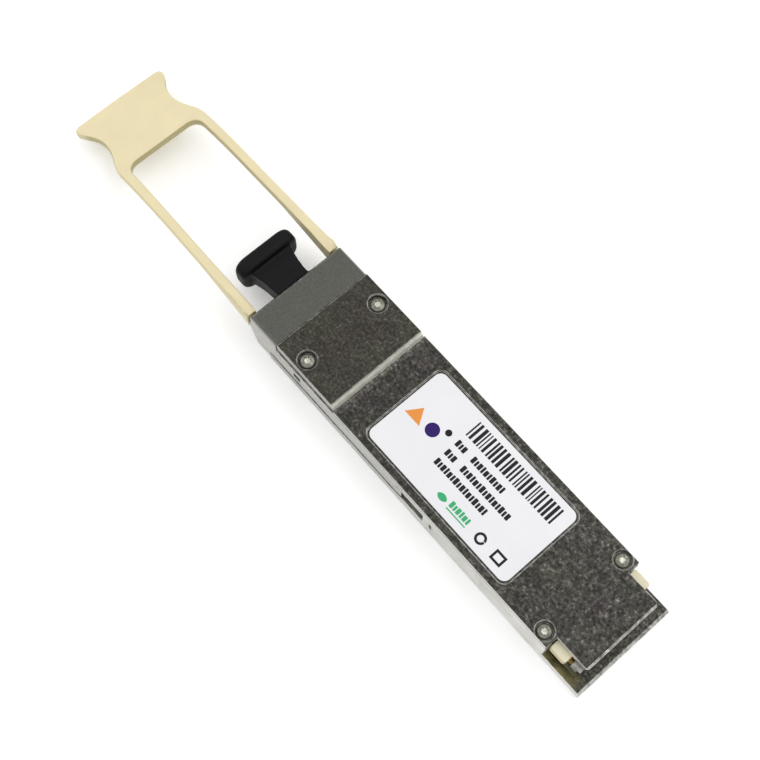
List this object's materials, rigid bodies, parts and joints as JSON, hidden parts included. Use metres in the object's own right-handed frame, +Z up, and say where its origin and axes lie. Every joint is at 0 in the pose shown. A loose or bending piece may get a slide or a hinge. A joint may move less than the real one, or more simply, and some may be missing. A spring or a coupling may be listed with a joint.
{
  "type": "optical transceiver module",
  "caption": "Pluggable fibre-optic transceiver: die-cast shell with a card edge at the rear, sprung latch slider with a pull tab, and a plugged fibre port.",
  "frame": {"origin": "middle of the footprint, on the plane of the module's underside", "axes": "+X along the module towards the host connector (the pull tab points to -X), +Y across it, +Z up through the label face"},
  "size_m": [0.1208, 0.0184, 0.0096],
  "materials": {
    "shell_nickel": "satin nickel plate on a zinc die casting, smooth",
    "cover_cast": "dark speckled nickel plate on a grained zinc die casting",
    "screw_steel": "plated steel, semi-gloss",
    "label_paper": null,
    "tab_ivory": "ivory moulded thermoplastic, fine satin grain",
    "plug_elastomer": "black moulded elastomer, satin",
    "spring_steel": "stainless spring steel",
    "port_plastic": "black glass-filled plastic",
    "ferrule_polymer": "filled polymer ferrule",
    "fibre_ribbon": "acrylate coated fibre ribbon",
    "board_laminate": "green solder mask on laminate",
    "contact_gold": "hard gold plate",
    "chip_mould": "black moulding compound",
    "chip_ceramic": "fired ceramic with tinned ends",
    "lens_polymer": "amber optical polymer",
    "thermal_pad": "silicone gap pad",
    "seam_gasket": "conductive elastomer strip",
    "block_ivory": "ivory moulded plastic"
  },
  "bodies": {
    "module": {"lower_shell": "shell_nickel", "top_cover": "cover_cast", "screw_front_left": "screw_steel", "screw_front_right": "screw_steel", "screw_rear_left": "screw_steel", "screw_rear_right": "screw_steel", "label": "label_paper", "return_spring_left": "spring_steel", "return_spring_right": "spring_steel", "ferrule_clamp": "spring_steel", "guide_pin_left": "spring_steel", "guide_pin_right": "spring_steel", "ground_clip": "spring_steel", "oscillator": "spring_steel", "port_receptacle": "port_plastic", "ferrule": "ferrule_polymer", "fibre_ribbon": "fibre_ribbon", "circuit_board": "board_laminate", "contact_row_top": "contact_gold", "contact_row_bottom": "contact_gold", "laser_array": "contact_gold", "photodiode_array": "contact_gold", "laser_driver": "chip_mould", "receiver_amplifier": "chip_mould", "controller": "chip_mould", "retimer_transmit": "chip_mould", "retimer_receive": "chip_mould", "power_inductor": "chip_mould", "capacitor_1": "chip_ceramic", "capacitor_2": "chip_ceramic", "capacitor_3": "chip_ceramic", "capacitor_4": "chip_ceramic", "capacitor_5": "chip_ceramic", "capacitor_6": "chip_ceramic", "lens_block": "lens_polymer", "thermal_pad_optics": "thermal_pad", "thermal_pad_drivers": "thermal_pad", "seam_gasket_left": "seam_gasket", "seam_gasket_right": "seam_gasket", "locator_block_left": "block_ivory", "locator_block_right": "block_ivory"},
    "latch": {"pull_tab": "tab_ivory", "latch_slider": "spring_steel"},
    "plug": {"dust_plug": "plug_elastomer"}
  },
  "joints": [
    {"name": "latch_slide", "type": "slide", "parent": "module", "child": "latch", "axis": [-1, 0, 0], "range_m": [0, 0.0025], "stiffness_N_per_m": 600, "springref_m": -0.002, "deforming": ["return_spring_left", "return_spring_right"]},
    {"name": "plug_slide", "type": "slide", "parent": "module", "child": "plug", "axis": [-1, 0, 0], "range_m": [0, 0.012]}
  ]
}
